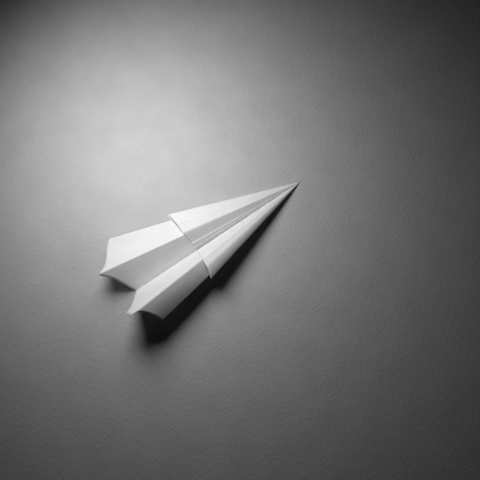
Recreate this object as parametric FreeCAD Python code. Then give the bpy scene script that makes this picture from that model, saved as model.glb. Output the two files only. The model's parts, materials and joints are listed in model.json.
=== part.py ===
"""Folded paper airplane: one sheet of paper, made of the flat panels between its creases.

Frame: +X points from tail to nose along the centre crease, +Y to the left wing, +Z up.
The plane stands on its centre crease and its left wing's outer edge, at Z = 0.
The origin is under the middle of its bounding box.

Each half of the sheet is wrapped in four layers about its leading edge. From the top they are
the flap, the panel, the lining and the sleeve. The wing root crease cuts every layer into a
body piece and a wing piece.
"""

import FreeCAD
import Part
import math
import os

from FreeCAD import Vector

# Driving dimensions of the flat sheet, in millimetres.
SHEET_WIDTH = 279.4
CENTRE_LENGTH = 215.9
SIDE_LENGTH = 202.5
PAPER = 0.1

# Creases, in degrees from the centre crease, all of them meeting at the nose.
CORNER_CREASE = 45.0
LEADING_CREASE = CORNER_CREASE / 2
LEFT_ROOT_CREASE = LEADING_CREASE / 2
RIGHT_ROOT_CREASE = 14.5

# Rest pose, in degrees. A slope is that of a fuselage side above the ground.
# A wing fold is how far the wing is turned down from the plane of its fuselage side.
LEFT_SLOPE = 44.5
RIGHT_SLOPE = 72.4
LEFT_WING_FOLD = 87.2
RIGHT_WING_FOLD = 110.3

# The left flap was folded short of the centre crease, and its free edge stands up.
LEFT_FLAP_INSET = 5.0
LEFT_FLAP_LIFT = 4.0

# Clearances at the creases.
CREASE_GAP = 0.1
FLAP_GAP = 1.2

# Layer heights above the upper face of the panel, bottom and top.
FLAP_LAYER = (0.0, PAPER)
PANEL_LAYER = (-PAPER, 0.0)
LINING_LAYER = (-2 * PAPER, -PAPER)
SLEEVE_LAYER = (-3 * PAPER, -2 * PAPER)
STACK_BOTTOM = SLEEVE_LAYER[0]

HALF_WIDTH = SHEET_WIDTH / 2
NOSEWARD = Vector(1, 0, 0)
TAILWARD = Vector(-1, 0, 0)


def ray(angle):
    """Unit direction in the flat half sheet, as (sideways, towards the tail)."""
    return (math.sin(math.radians(angle)), math.cos(math.radians(angle)))


def reflect(points, angle):
    """Fold flat points over the crease at an angle."""
    across, along = ray(angle)
    folded = []
    for side, back in points:
        shadow = 2 * (side * across + back * along)
        folded.append((shadow * across - side, shadow * along - back))
    return folded


def clip(points, angle, outside, margin=0.0):
    """Keep the part of a flat outline that lies outside or inside the crease at an angle.

    The cut runs parallel to the crease, a margin away from it, in the part that is kept.
    """
    across, along = ray(angle)
    sign = 1 if outside else -1
    reach = [sign * (side * along - back * across) - margin for side, back in points]
    kept = []
    for index, point in enumerate(points):
        before = points[index - 1]
        here, there = reach[index], reach[index - 1]
        if here * there < 0:
            share = there / (there - here)
            kept.append(tuple(b + share * (p - b) for b, p in zip(before, point)))
        if here >= 0:
            kept.append(point)
    return kept


def sheet_layers(flap_inset):
    """Flat outlines of the four layers of one half, after the corner and leading edge folds."""
    nose = (0.0, 0.0)
    sheet = [nose, (HALF_WIDTH, HALF_WIDTH), (HALF_WIDTH, SIDE_LENGTH)]
    sheet.append((SIDE_LENGTH * math.tan(math.radians(LEADING_CREASE)), SIDE_LENGTH))
    sheet.append((0.0, CENTRE_LENGTH))
    corner = [nose, (0.0, HALF_WIDTH), (HALF_WIDTH, HALF_WIDTH)]
    flap = clip(corner, LEADING_CREASE, outside=False)
    flap = clip(flap, flap_inset, outside=True)
    return {
        "panel": (clip(sheet, LEADING_CREASE, outside=False), PANEL_LAYER),
        "lining": (reflect(clip(sheet, LEADING_CREASE, outside=True), LEADING_CREASE), LINING_LAYER),
        "sleeve": (reflect(clip(corner, LEADING_CREASE, outside=True), LEADING_CREASE), SLEEVE_LAYER),
        "flap": (flap, FLAP_LAYER),
    }


class Half:
    """Directions of one half of the plane: its fuselage side and its wing."""

    def __init__(self, sign, root_crease, slope, wing_fold):
        self.root_crease = root_crease
        tilt = math.radians(slope)
        self.upward = Vector(0, sign * math.cos(tilt), math.sin(tilt))
        self.normal = Vector(0, -sign * math.sin(tilt), math.cos(tilt))
        across, along = ray(root_crease)
        self.root = TAILWARD * along + self.upward * across
        self.outward = self.upward * along - TAILWARD * across
        self.hinge = self.normal * STACK_BOTTOM
        turn = math.radians(wing_fold)
        self.wing_out = self.outward * math.cos(turn) - self.normal * math.sin(turn)
        self.wing_normal = self.outward * math.sin(turn) + self.normal * math.cos(turn)

    def root_places(self, point):
        """Split a flat point into its distance along the root crease and away from it."""
        across, along = ray(self.root_crease)
        side, back = point
        return (side * across + back * along, side * along - back * across)

    def on_body(self, point, height):
        side, back = point
        return TAILWARD * back + self.upward * side + self.normal * height

    def on_wing(self, point, height):
        along, away = self.root_places(point)
        flat = self.hinge + self.root * along + self.wing_out * away
        return flat + self.wing_normal * (height - STACK_BOTTOM)

    def lifted(self, point, height, lift):
        """Place a body point turned up about the root crease by the lift."""
        turn = math.radians(lift)
        along, away = self.root_places(point)
        outward = self.outward * math.cos(turn) - self.normal * math.sin(turn)
        normal = self.outward * math.sin(turn) + self.normal * math.cos(turn)
        return self.root * along + outward * away + normal * height


def slab(points, layer, place):
    """One layer of paper over a flat outline."""
    bottom, top = layer
    corners = [place(point, bottom) for point in points]
    face = Part.Face(Part.makePolygon(corners + corners[:1]))
    return face.extrude(place(points[0], top) - corners[0])


def build_half(side, half, flap_inset, flap_lift):
    pieces = {}
    for layer, (outline, heights) in sheet_layers(flap_inset).items():
        body = clip(outline, half.root_crease, outside=False, margin=CREASE_GAP)
        wing = clip(outline, half.root_crease, outside=True, margin=CREASE_GAP)
        if layer == "flap":
            body = clip(body, 0.0, outside=True, margin=FLAP_GAP)
            body_place = lambda point, height: half.lifted(point, height, flap_lift)
        else:
            body = clip(body, 0.0, outside=True, margin=CREASE_GAP)
            body_place = half.on_body
        pieces[f"{side}_body_{layer}"] = slab(body, heights, body_place)
        pieces[f"{side}_wing_{layer}"] = slab(wing, heights, half.on_wing)
    return pieces


def bounding_box(shapes):
    box = FreeCAD.BoundBox()
    for shape in shapes:
        box.add(shape.optimalBoundingBox())
    return box


def describe(name, place, axis):
    print(name, "at", [round(value, 4) for value in place], "axis", [round(value, 6) for value in axis])


left = Half(1, LEFT_ROOT_CREASE, LEFT_SLOPE, LEFT_WING_FOLD)
right = Half(-1, RIGHT_ROOT_CREASE, RIGHT_SLOPE, RIGHT_WING_FOLD)
parts = build_half("left", left, LEFT_FLAP_INSET, LEFT_FLAP_LIFT)
parts.update(build_half("right", right, 0.0, 0.0))

box = bounding_box(parts.values())
origin = Vector(box.Center.x, box.Center.y, box.ZMin)

os.makedirs("parts", exist_ok=True)
for name, shape in parts.items():
    shape.translate(-origin)
    shape.exportStep(f"parts/{name}.step")

# Joints and the face to hold the plane by. A positive turn opens the keel, raises a wing
# or lifts the flap.
describe("keel_fold", -origin, NOSEWARD)
describe("left_wing_fold", left.hinge - origin, -left.root)
describe("right_wing_fold", right.hinge - origin, right.root)
describe("left_flap_lift", -origin, left.root)
grip_face = min(parts["left_body_sleeve"].Faces, key=lambda face: face.CenterOfMass.dot(left.normal))
describe("left_grip_face", grip_face.CenterOfMass, -left.normal)
box = bounding_box(parts.values())
print("size", round(box.XLength, 2), round(box.YLength, 2), round(box.ZLength, 2))
print("paper volume", round(sum(shape.Volume for shape in parts.values()), 1), "mm3")
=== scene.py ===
"""Looks of the folded paper airplane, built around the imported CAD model. All lengths are in metres.

All creases of the plane meet at its nose, so each sheet is close to a cone with its tip there. A
section gives the shape of such a cone at one unit behind the nose, as (y, z) points. The angle of a
point in the flat sheet, from the centre crease, follows the length of the section's path seen from
the nose. On a base sheet it is scaled, by up to 1%, to end at the leading edge. The right base
sheet goes over from one cone to another towards the tail.
"""

import bisect
import json
import math

import bpy
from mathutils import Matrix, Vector, noise


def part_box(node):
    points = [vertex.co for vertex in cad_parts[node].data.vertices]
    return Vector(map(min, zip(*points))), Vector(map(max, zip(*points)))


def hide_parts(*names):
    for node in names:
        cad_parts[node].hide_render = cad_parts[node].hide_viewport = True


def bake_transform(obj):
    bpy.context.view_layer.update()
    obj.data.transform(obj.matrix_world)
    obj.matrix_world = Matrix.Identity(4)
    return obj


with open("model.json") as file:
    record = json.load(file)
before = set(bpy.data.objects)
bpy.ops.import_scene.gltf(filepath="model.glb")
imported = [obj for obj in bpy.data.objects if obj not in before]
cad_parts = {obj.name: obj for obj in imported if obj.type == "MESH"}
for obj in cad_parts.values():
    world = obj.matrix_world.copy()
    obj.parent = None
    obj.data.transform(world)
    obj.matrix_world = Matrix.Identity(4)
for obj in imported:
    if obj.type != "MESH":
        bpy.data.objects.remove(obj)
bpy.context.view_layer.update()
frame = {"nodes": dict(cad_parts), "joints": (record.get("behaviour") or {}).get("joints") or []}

# Crease of the leading edge in the flat sheet, in degrees from the centre crease.
LEADING_CREASE = 22.5

# Heights of the layers, from the face of the base sheet.
PAPER = 0.0001
LAYER_GAP = 0.00003
LINING_DROP = 2 * PAPER + LAYER_GAP
WRAP_RISE = PAPER + LAYER_GAP
SLEEVE_RISE = LINING_DROP + PAPER + LAYER_GAP

# The lining starts this many degrees from the centre crease, and a wrap's outline is read no
# nearer to it than the innermost angle.
LINING_START = 0.35
INNERMOST_ANGLE = 0.2

# Between these distances from the nose, the right sheet goes from its front to its tail section.
TWIST_START = 0.11
TWIST_END = 0.23

# Fineness of the meshes. Each column starts a small share of its length behind the nose.
FOLD_STEPS = 8
ROWS = 72
SEGMENT_STEPS = 22
CORNER_STEPS = 9
SMALLEST_ANGLE = 0.004
NOSE_SHARE = 0.004

# Tolerance for the end of an outline that lies on the ray being measured.
ON_EDGE = 1e-9

# Waviness of the paper: heights, waves to the metre, and where behind the nose it is full.
SHEET_WAVE = 0.0002
WRAP_WAVE = 0.00015
LONG_WAVES = 26
LONG_SHARE = 0.7
SHORT_WAVES = 70
SHORT_SHARE = 0.3
FULL_WAVE_AT = 0.06

# Where the left flap's sheet meets the left wrap, as shares of the wing root crease's place.
SEAM_ACROSS = 0.93
SEAM_UP = 0.95

# Paper that turns this many degrees from one column to the next is fully worn, and takes the full painted
# shade of a crease.
FULL_WEAR_AND_SHADE_TURN = 3.0
# Name of the per-vertex value that darkens the paper along its creases: partly wear, partly painted shade.
WEAR_AND_SHADE_NAME = "_crease_wear_and_shade"

JOINTS = {joint["name"]: joint for joint in frame["joints"]}
NOSE = Vector(JOINTS["keel_fold"]["pos_m"])


def farthest(node):
    """The node's corner that is farthest from the nose, measured from the nose."""
    corners = [vertex.co - NOSE for vertex in frame["nodes"][node].data.vertices]
    return max(corners, key=lambda corner: corner.length)


def reach(node):
    """How far behind the nose a node ends."""
    return NOSE.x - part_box(node)[0].x


def per_unit(direction):
    """A direction from the nose as a section point, one unit behind the nose."""
    return Vector((direction.y, direction.z)) / -direction.x


HALF_WIDTH = reach("right_body_flap")
CENTRE_LENGTH = reach("left_body_panel")
SIDE_LENGTH = farthest("left_wing_panel").length * math.cos(math.radians(LEADING_CREASE))
LEFT_RIDGE = per_unit(Vector(JOINTS["left_wing_fold"]["axis"]))
RIGHT_RIDGE = per_unit(Vector(JOINTS["right_wing_fold"]["axis"]))
LEFT_EDGE = per_unit(farthest("left_wing_panel"))
RIGHT_EDGE = per_unit(farthest("right_wing_panel"))
KEEL = Vector((0.0, 0.0))


# Flat outlines, as (sideways, towards the tail) points.

def flat_angle(point):
    """Angle of a flat point from the centre crease, in degrees."""
    return math.degrees(math.atan2(point[0], point[1]))


def reach_at(outline, angle):
    """How far from the nose the edge of a flat outline is, at an angle from the centre crease."""
    across, along = math.sin(math.radians(angle)), math.cos(math.radians(angle))
    best = None
    for start, end in zip(outline, outline[1:]):
        first = start[0] * along - start[1] * across
        last = end[0] * along - end[1] * across
        if first == last or first * last > ON_EDGE:
            continue
        share = first / (first - last)
        side = start[0] + share * (end[0] - start[0])
        back = start[1] + share * (end[1] - start[1])
        best = math.hypot(side, back)
    return best


def outlines():
    """Far edges of the layers of one half of the sheet, from the centre crease outwards."""
    leading = math.tan(math.radians(LEADING_CREASE))
    side = (SIDE_LENGTH * leading / CENTRE_LENGTH, SIDE_LENGTH / CENTRE_LENGTH)
    # As shares of the centre crease's length: from the keel along a hollow edge to the tip, and
    # along another to the side. The right half has a second, blunt corner at its wing root.
    # The points of left and right were traced on the photo, so there are more than they need.
    lining = [(0.0, 0.915), (0.185, 1.060), (0.225, 1.040), (0.27, 0.982), (0.33, 0.950), side]
    left = [(0.0, 1.010), (0.045, 1.025), (0.121, 1.051), (0.168, 1.073), (0.190, 1.091)]
    left += [(0.219, 1.113), (0.229, 1.098), (0.238, 1.076), (0.256, 1.055), (0.296, 1.022)]
    left += [(0.336, 0.993), (0.372, 0.963), (0.384, 0.949), side]
    right = [(0.0, 1.010), (0.048, 1.026), (0.094, 1.041), (0.143, 1.061), (0.182, 1.077)]
    right += [(0.197, 1.090), (0.222, 1.109), (0.241, 1.094), (0.277, 1.092), (0.277, 1.055)]
    right += [(0.291, 1.029), (0.309, 1.005), (0.335, 0.980), (0.361, 0.957), side]
    edges = {"lining": lining, "left_panel": left, "right_panel": right}
    scaled = {}
    for name, edge in edges.items():
        scaled[name] = [(CENTRE_LENGTH * x, CENTRE_LENGTH * y) for x, y in edge]
    # As shares of half the sheet's width.
    wraps = {
        "sleeve": [(0.0, math.sqrt(2)), (0.30, 1.01), (1.01 * leading, 1.01)],
        "left_flap": [(0.0, 1.0), (0.17, 1.035), (leading, 1.0)],
        "right_flap": [(0.0, 1.0), (0.255, 1.03), (1.02 * leading, 1.02)],
    }
    for name, edge in wraps.items():
        scaled[name] = [(HALF_WIDTH * x, HALF_WIDTH * y) for x, y in edge]
    return scaled


OUTLINES = outlines()


# Sections of the sheets, and the columns of paper over them.

def bowed(start, end, bow, share):
    """Point on a slightly bowed line between two section points. A positive bow is to the left."""
    run = end - start
    across = Vector((-run.y, run.x)).normalized()
    return start.lerp(end, share) + across * (4 * bow * share * (1 - share))


def section(crease_tone_worn_and_shaded, bows, radii):
    """Path through creases, each rounded over its radius, with a bow in every panel."""
    path = []
    for index, bow in enumerate(bows):
        start, end = crease_tone_worn_and_shaded[index], crease_tone_worn_and_shaded[index + 1]
        length = (end - start).length
        first = radii[index] / length
        last = 1 - radii[index + 1] / length
        for step in range(SEGMENT_STEPS + 1):
            path.append(bowed(start, end, bow, first + (last - first) * step / SEGMENT_STEPS))
        if index + 1 == len(bows):
            break
        after = crease_tone_worn_and_shaded[index + 2]
        turn_in = path[-1]
        share = radii[index + 1] / (after - end).length
        turn_out = bowed(end, after, bows[index + 1], share)
        for step in range(1, CORNER_STEPS):
            t = step / CORNER_STEPS
            path.append(turn_in * (1 - t) ** 2 + end * 2 * t * (1 - t) + turn_out * t ** 2)
    return path


class Cone:
    """Sheet through the nose over a section, which gives a ray for each angle along its path.

    With a total, the angles are scaled to add up to it.
    """

    def __init__(self, path, total=None):
        self.rays = [Vector((-1.0, point.x, point.y)).normalized() for point in path]
        self.covered = [0.0]
        for before, here in zip(self.rays, self.rays[1:]):
            self.covered.append(self.covered[-1] + math.degrees(before.angle(here)))
        if total:
            scale = total / self.covered[-1]
            self.covered = [angle * scale for angle in self.covered]

    def at(self, angle):
        """Ray and section tangent at an angle along the path."""
        last = len(self.covered) - 2
        index = max(0, min(last, bisect.bisect_right(self.covered, angle) - 1))
        start, end = self.covered[index], self.covered[index + 1]
        share = min(1.0, max(0.0, (angle - start) / (end - start)))
        ray = self.rays[index].lerp(self.rays[index + 1], share).normalized()
        before = self.rays[max(index - 1, 0)]
        after = self.rays[min(index + 2, last + 1)]
        first = self.rays[index + 1] - before
        second = after - self.rays[index]
        return ray, first.normalized().lerp(second.normalized(), share).normalized()

    def angles(self, extra=()):
        """Angles to build the sheet on: the section's own and some extra ones."""
        inside = [angle for angle in extra if 0 < angle < self.covered[-1]]
        kept = []
        for angle in sorted(self.covered + inside):
            if not kept or angle - kept[-1] > SMALLEST_ANGLE:
                kept.append(angle)
        return kept


class Column:
    """One line of paper from the nose to an edge: its direction, its face and its length."""

    def __init__(self, ray, normal, length, rise, spread=None, tail_ray=None):
        self.ray = ray
        self.normal = normal
        self.length = length
        self.rise = rise
        self.spread = spread or Vector((0, 0, 0))
        self.tail_ray = tail_ray or ray

    def point(self, share):
        distance = self.length * share
        twist = max(0.0, min(1.0, (distance - TWIST_START) / (TWIST_END - TWIST_START)))
        ray = self.ray.lerp(self.tail_ray, twist * twist * (3 - 2 * twist)).normalized()
        return NOSE + ray * distance + self.normal * self.rise + self.spread


def base_columns(path, tail_path, side, panel_edge):
    """Columns of a base sheet: its panel, the fold at the leading edge, and the lining below."""
    cone = Cone(path, LEADING_CREASE)
    tail_cone = Cone(tail_path, LEADING_CREASE)
    columns = []
    lining = []
    corners = [flat_angle(point) for name in ("lining", panel_edge) for point in OUTLINES[name]]
    for angle in cone.angles(corners):
        ray, tangent = cone.at(angle)
        tail_ray = tail_cone.at(angle)[0]
        normal = tangent.cross(ray).normalized() * side
        length = reach_at(OUTLINES[panel_edge], angle)
        columns.append(Column(ray, normal, length, 0.0, tail_ray=tail_ray))
        if angle > LINING_START:
            length = reach_at(OUTLINES["lining"], angle)
            lining.append(Column(ray, normal, length, -LINING_DROP, tail_ray=tail_ray))
    edge = columns[-1]
    for step in range(1, FOLD_STEPS):
        turn = math.pi * step / FOLD_STEPS
        rise = (math.cos(turn) - 1) * LINING_DROP / 2
        spread = tangent * (math.sin(turn) * LINING_DROP / 2)
        columns.append(Column(edge.ray, edge.normal, edge.length, rise, spread, edge.tail_ray))
    return columns + lining[::-1]


def nearest(places, target):
    """Index of the place that is nearest to a target."""
    return min(range(len(places)), key=lambda index: (places[index] - target).length)


def wrap_columns(path, edge_point, side, flap_edge):
    """Columns of a corner wrap: from the flap's free edge round the leading edge to the keel."""
    cone = Cone(path)
    at_edge = cone.covered[nearest(path, edge_point)]
    columns = []
    for angle in cone.angles():
        ray, tangent = cone.at(angle)
        normal = tangent.cross(ray).normalized() * side
        flat = max(INNERMOST_ANGLE, LEADING_CREASE - abs(angle - at_edge))
        if angle <= at_edge:
            columns.append(Column(ray, normal, reach_at(OUTLINES[flap_edge], flat), WRAP_RISE))
        else:
            columns.append(Column(ray, normal, reach_at(OUTLINES["sleeve"], flat), SLEEVE_RISE))
    return columns


def wear_and_shade_by_column(columns):
    """How worn the paper is along each column, and how much painted crease shade it takes, from how sharply
    it turns there.
    """
    turns = [0.0]
    for before, here in zip(columns, columns[1:]):
        turns.append(math.degrees(before.normal.angle(here.normal)))
    return [min(1.0, turn / FULL_WEAR_AND_SHADE_TURN) for turn in turns]


def sheet_piece(name, columns, side, wave):
    """Mesh of paper over a run of columns, with a slight wave, and the thickness of paper."""
    vertices = []
    for column in columns:
        for row in range(ROWS + 1):
            share = NOSE_SHARE + (1 - NOSE_SHARE) * row / ROWS
            point = column.point(share)
            ripple = noise.noise(point * LONG_WAVES) * LONG_SHARE
            ripple += noise.noise(point * SHORT_WAVES) * SHORT_SHARE
            fade = min(1.0, (point - NOSE).length / FULL_WAVE_AT)
            vertices.append(point + column.normal * (ripple * wave * fade))
    faces = []
    for line in range(len(columns) - 1):
        for row in range(ROWS):
            here = line * (ROWS + 1) + row
            there = here + ROWS + 1
            face = (here, there, there + 1, here + 1)
            faces.append(face if side > 0 else face[::-1])
    mesh = bpy.data.meshes.new(name)
    mesh.from_pydata(vertices, [], faces)
    mesh.update()
    for polygon in mesh.polygons:
        polygon.use_smooth = True
    # Per-vertex crease value, which darkens the paper along its folds: partly wear, partly painted shade.
    wear_shade_attribute = mesh.attributes.new(WEAR_AND_SHADE_NAME, "FLOAT", "POINT")
    wear_shade_attribute.data.foreach_set("value", [value for value in wear_and_shade_by_column(columns) for row in range(ROWS + 1)])
    piece = bpy.data.objects.new(name, mesh)
    bpy.context.scene.collection.objects.link(piece)
    thickness = piece.modifiers.new("paper_thickness", "SOLIDIFY")
    thickness.thickness = PAPER
    thickness.offset = -1
    thickness.use_even_offset = False
    return piece


def noise_texture(tree, place, scale, detail, stretch=(1, 1, 1)):
    """Noise over an object's own coordinates, which may be stretched along an axis."""
    mapping = tree.nodes.new("ShaderNodeMapping")
    mapping.inputs["Scale"].default_value = stretch
    tree.links.new(place.outputs["Object"], mapping.inputs["Vector"])
    texture = tree.nodes.new("ShaderNodeTexNoise")
    texture.inputs["Scale"].default_value = scale
    texture.inputs["Detail"].default_value = detail
    tree.links.new(mapping.outputs["Vector"], texture.inputs["Vector"])
    return texture.outputs["Fac"]


def remap(tree, value, low, high, new_low, new_high):
    """A value moved from one range to another, and held to the new one."""
    node = tree.nodes.new("ShaderNodeMapRange")
    node.inputs["From Min"].default_value = low
    node.inputs["From Max"].default_value = high
    node.inputs["To Min"].default_value = new_low
    node.inputs["To Max"].default_value = new_high
    tree.links.new(value, node.inputs["Value"])
    return node.outputs["Result"]


def combine(tree, operation, first, second):
    """Two values joined by a math operation."""
    node = tree.nodes.new("ShaderNodeMath")
    node.operation = operation
    tree.links.new(first, node.inputs[0])
    tree.links.new(second, node.inputs[1])
    return node.outputs["Value"]


def add_bump(tree, height, strength, distance, before=None):
    """Bump from a height, on top of an earlier bump if there is one."""
    bump = tree.nodes.new("ShaderNodeBump")
    bump.inputs["Strength"].default_value = strength
    bump.inputs["Distance"].default_value = distance
    tree.links.new(height, bump.inputs["Height"])
    if before:
        tree.links.new(before, bump.inputs["Normal"])
    return bump.outputs["Normal"]


def colour_grey(tree, tone, shader):
    """Give the shader a neutral colour of a brightness."""
    tint = tree.nodes.new("ShaderNodeCombineColor")
    for channel in ("Red", "Green", "Blue"):
        tree.links.new(tone, tint.inputs[channel])
    tree.links.new(tint.outputs["Color"], shader.inputs["Base Color"])


def new_material(name):
    """Empty node material, with its tree, its shader and its texture coordinates."""
    material = bpy.data.materials.new(name)
    material.use_nodes = True
    tree = material.node_tree
    return material, tree, tree.nodes["Principled BSDF"], tree.nodes.new("ShaderNodeTexCoord")


def paper_material():
    """White office paper: cloudy mottling, specks, long fibres, a fine tooth, and creases darkened partly
    by wear and partly as painted shade.
    """
    material, tree, shader, place = new_material("white_paper")
    clouds = remap(tree, noise_texture(tree, place, 90, 5), 0.3, 0.7, 0.81, 0.86)
    specks = remap(tree, noise_texture(tree, place, 2300, 2), 0.30, 0.42, 0.93, 1.0)
    # Creases darker by up to a tenth, varied in patches: partly wear, partly painted shade in the folds.
    wear_shade_attribute = tree.nodes.new("ShaderNodeAttribute")
    wear_shade_attribute.attribute_name = WEAR_AND_SHADE_NAME
    patches = remap(tree, noise_texture(tree, place, 260, 4), 0.35, 0.65, 0.4, 1.0)
    worn_and_shaded = combine(tree, "MULTIPLY", wear_shade_attribute.outputs["Fac"], patches)
    crease_tone_worn_and_shaded = remap(tree, worn_and_shaded, 0.0, 1.0, 1.0, 0.90)
    tone = combine(tree, "MULTIPLY", combine(tree, "MULTIPLY", clouds, specks), crease_tone_worn_and_shaded)
    colour_grey(tree, tone, shader)
    roughness = remap(tree, noise_texture(tree, place, 500, 3), 0.3, 0.7, 0.84, 0.95)
    tree.links.new(roughness, shader.inputs["Roughness"])
    shader.inputs["Specular IOR Level"].default_value = 0.25
    shader.inputs["Subsurface Weight"].default_value = 0.06
    shader.inputs["Subsurface Radius"].default_value = (1.0, 1.0, 1.0)
    shader.inputs["Subsurface Scale"].default_value = 0.0004
    cockle = add_bump(tree, noise_texture(tree, place, 38, 3), 0.35, 0.0006)
    lengthwise = noise_texture(tree, place, 1100, 4, (0.16, 1, 1))
    crosswise = noise_texture(tree, place, 900, 4, (1, 0.2, 1))
    fibres = combine(tree, "MAXIMUM", lengthwise, crosswise)
    fibrous = add_bump(tree, fibres, 0.4, 0.00008, cockle)
    tooth = add_bump(tree, noise_texture(tree, place, 3400, 2), 0.25, 0.00004, fibrous)
    frayed = combine(tree, "MULTIPLY", worn_and_shaded, noise_texture(tree, place, 1900, 3))
    tree.links.new(add_bump(tree, frayed, 0.5, 0.0001, tooth), shader.inputs["Normal"])
    return material


PAPER_MATERIAL = paper_material()


def finish_piece(piece, nodes):
    """Material, slot and the CAD nodes that a piece stands for."""
    piece.data.materials.append(PAPER_MATERIAL)
    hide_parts(*nodes)


# The left half.

LEFT_BASE = section(
    [KEEL, Vector((0.0022, 0.0)), LEFT_RIDGE, LEFT_EDGE],
    [0.0, 0.0080, -0.0060],
    [0.0, 0.0020, 0.0025, 0.0],
)
left_columns = base_columns(LEFT_BASE, LEFT_BASE, 1, "left_panel")
left_base = sheet_piece("left_sheet", left_columns, 1, SHEET_WAVE)

# From the free edge: the flap, the leading edge and the sleeve below, back to the keel.
LEFT_WRAP_EDGE = Vector((0.3450, 0.0030))
LEFT_WRAP_CREASES = [
    Vector((0.0540, 0.0735)),
    Vector((0.0680, 0.0790)),
    Vector((0.1440, 0.1440)),
    Vector((0.1580, 0.1500)),
    Vector((0.2290, 0.1150)),
    LEFT_WRAP_EDGE,
    Vector((0.2900, 0.0010)),
    Vector((0.1450, 0.0950)),
    KEEL,
]
LEFT_WRAP_BOWS = [0.0, 0.0030, 0.0, 0.0, 0.0, 0.0, 0.0, 0.0]
LEFT_WRAP_RADII = [0.0, 0.004, 0.004, 0.004, 0.010, 0.0015, 0.010, 0.03, 0.0]
LEFT_WRAP = section(LEFT_WRAP_CREASES, LEFT_WRAP_BOWS, LEFT_WRAP_RADII)

left_wrap_all = wrap_columns(LEFT_WRAP, LEFT_WRAP_EDGE, 1, "left_flap")
seam_ray = Vector((-1.0, LEFT_RIDGE.x * SEAM_ACROSS, LEFT_RIDGE.y * SEAM_UP)).normalized()
flap_rays = [column.ray for column in left_wrap_all if column.rise == WRAP_RISE]
left_seam = nearest(flap_rays, seam_ray)
left_flap = sheet_piece("left_flap", left_wrap_all[: left_seam + 1], 1, WRAP_WAVE)
left_wrap = sheet_piece("left_wrap", left_wrap_all[left_seam:], 1, WRAP_WAVE)

# The right half.

RIGHT_CREASES = [KEEL, Vector((-0.0016, 0.0)), RIGHT_RIDGE]
RIGHT_RADII = [0.0, 0.0015, 0.0120, 0.0]
RIGHT_FRONT = section(
    RIGHT_CREASES + [RIGHT_EDGE + Vector((-0.014, 0.026))],
    [0.0, 0.0, -0.0060],
    RIGHT_RADII,
)
RIGHT_TAIL = section(RIGHT_CREASES + [RIGHT_EDGE], [0.0, 0.0, -0.0070], RIGHT_RADII)
right_columns = base_columns(RIGHT_FRONT, RIGHT_TAIL, -1, "right_panel")
right_base = sheet_piece("right_sheet", right_columns, -1, SHEET_WAVE)

RIGHT_WRAP_EDGE = Vector((-0.2270, 0.2250))
RIGHT_WRAP_CREASES = [
    Vector((-0.0030, 0.0150)),
    Vector((-0.0800, 0.2520)),
    Vector((-0.1450, 0.2660)),
    RIGHT_WRAP_EDGE,
    Vector((-0.1940, 0.1480)),
    Vector((-0.1000, 0.1980)),
    KEEL,
]
RIGHT_WRAP_BOWS = [0.0, 0.0, -0.006, 0.0, 0.0, 0.0]
RIGHT_WRAP_RADII = [0.0, 0.010, 0.010, 0.0015, 0.010, 0.03, 0.0]
RIGHT_WRAP = section(RIGHT_WRAP_CREASES, RIGHT_WRAP_BOWS, RIGHT_WRAP_RADII)
right_wrap_all = wrap_columns(RIGHT_WRAP, RIGHT_WRAP_EDGE, -1, "right_flap")
right_wrap = sheet_piece("right_wrap", right_wrap_all, -1, WRAP_WAVE)

finish_piece(left_base, ["left_body_panel", "left_wing_panel", "left_body_lining", "left_wing_lining"])
finish_piece(left_wrap, ["left_wing_flap", "left_body_sleeve", "left_wing_sleeve"])
finish_piece(left_flap, ["left_body_flap"])
finish_piece(right_base, ["right_body_panel", "right_wing_panel", "right_body_lining", "right_wing_lining"])
finish_piece(right_wrap, ["right_body_flap", "right_wing_flap", "right_body_sleeve", "right_wing_sleeve"])

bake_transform(left_base)
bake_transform(left_wrap)
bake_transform(right_base)
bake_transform(right_wrap)
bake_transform(left_flap)


# Floor, light and camera. The folded edges dip a little below the CAD's ground, and the floor is lower.

FLOOR_REACH = 3.0
FLOOR_DROP = 2.5 * PAPER
LIGHT_SIZE = 0.17
LIGHT_POWER = 0.44
LIGHT_SPREAD = 125
LIGHT_PLACE = Vector((-0.015, 0.175, 0.245))
LIGHT_TARGET = Vector((0.0, 0.03, 0.0))
WORLD_STRENGTH = 0.003
SENSOR = 36.0
LENS = 51.73
NEAREST_SEEN = 0.01
CAMERA_FROM_NOSE = Vector((-0.2192, -0.0106, 0.7492))
CAMERA_TURN = (4.93, -8.23, -33.99)


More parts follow.
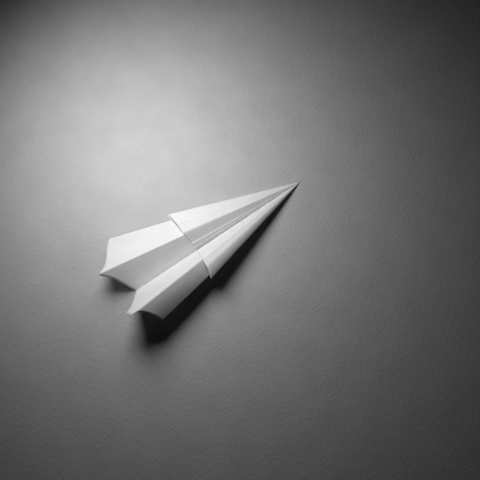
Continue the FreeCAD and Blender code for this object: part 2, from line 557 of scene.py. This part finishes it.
def floor_material():
    """Pale card with a fine woven grain."""
    material, tree, shader, place = new_material("pale_floor")
    clouds = remap(tree, noise_texture(tree, place, 30, 4), 0.3, 0.7, 0.54, 0.59)
    specks = remap(tree, noise_texture(tree, place, 700, 3), 0.3, 0.7, 0.95, 1.03)
    tone = combine(tree, "MULTIPLY", clouds, specks)
    colour_grey(tree, tone, shader)
    shader.inputs["Roughness"].default_value = 0.95
    shader.inputs["Specular IOR Level"].default_value = 0.1
    threads = noise_texture(tree, place, 330, 3, (1, 0.35, 1))
    weave = combine(tree, "ADD", threads, noise_texture(tree, place, 420, 2, (0.35, 1, 1)))
    tree.links.new(add_bump(tree, weave, 0.7, 0.0005), shader.inputs["Normal"])
    return material


def add_floor():
    """Square of card under the object."""
    turns = ((-1, -1), (1, -1), (1, 1), (-1, 1))
    corners = [(x * FLOOR_REACH, y * FLOOR_REACH, -FLOOR_DROP) for x, y in turns]
    mesh = bpy.data.meshes.new("floor")
    mesh.from_pydata(corners, [], [(0, 1, 2, 3)])
    floor = bpy.data.objects.new("floor", mesh)
    bpy.context.scene.collection.objects.link(floor)
    floor.data.materials.append(floor_material())


def add_light():
    """One soft light, above the plane and to its left."""
    data = bpy.data.lights.new("window", "AREA")
    data.shape = "DISK"
    data.size = LIGHT_SIZE
    data.energy = LIGHT_POWER
    data.spread = math.radians(LIGHT_SPREAD)
    light = bpy.data.objects.new("window", data)
    bpy.context.scene.collection.objects.link(light)
    light.location = LIGHT_PLACE
    light.rotation_euler = (LIGHT_PLACE - LIGHT_TARGET).to_track_quat("Z", "Y").to_euler()
    light.visible_camera = False


def add_world():
    """Faint even light from all round."""
    world = bpy.data.worlds.new("studio")
    world.use_nodes = True
    background = world.node_tree.nodes["Background"]
    background.inputs["Color"].default_value = (1, 1, 1, 1)
    background.inputs["Strength"].default_value = WORLD_STRENGTH
    bpy.context.scene.world = world


def add_camera():
    """Camera high above the plane, looking almost straight down."""
    data = bpy.data.cameras.new("camera")
    data.sensor_width = SENSOR
    data.lens = LENS
    data.clip_start = NEAREST_SEEN
    camera = bpy.data.objects.new("camera", data)
    bpy.context.scene.collection.objects.link(camera)
    camera.location = NOSE + CAMERA_FROM_NOSE
    camera.rotation_euler = [math.radians(angle) for angle in CAMERA_TURN]
    bpy.context.scene.camera = camera


add_floor()
add_light()
add_world()
add_camera()
bpy.context.scene.view_settings.view_transform = "Standard"
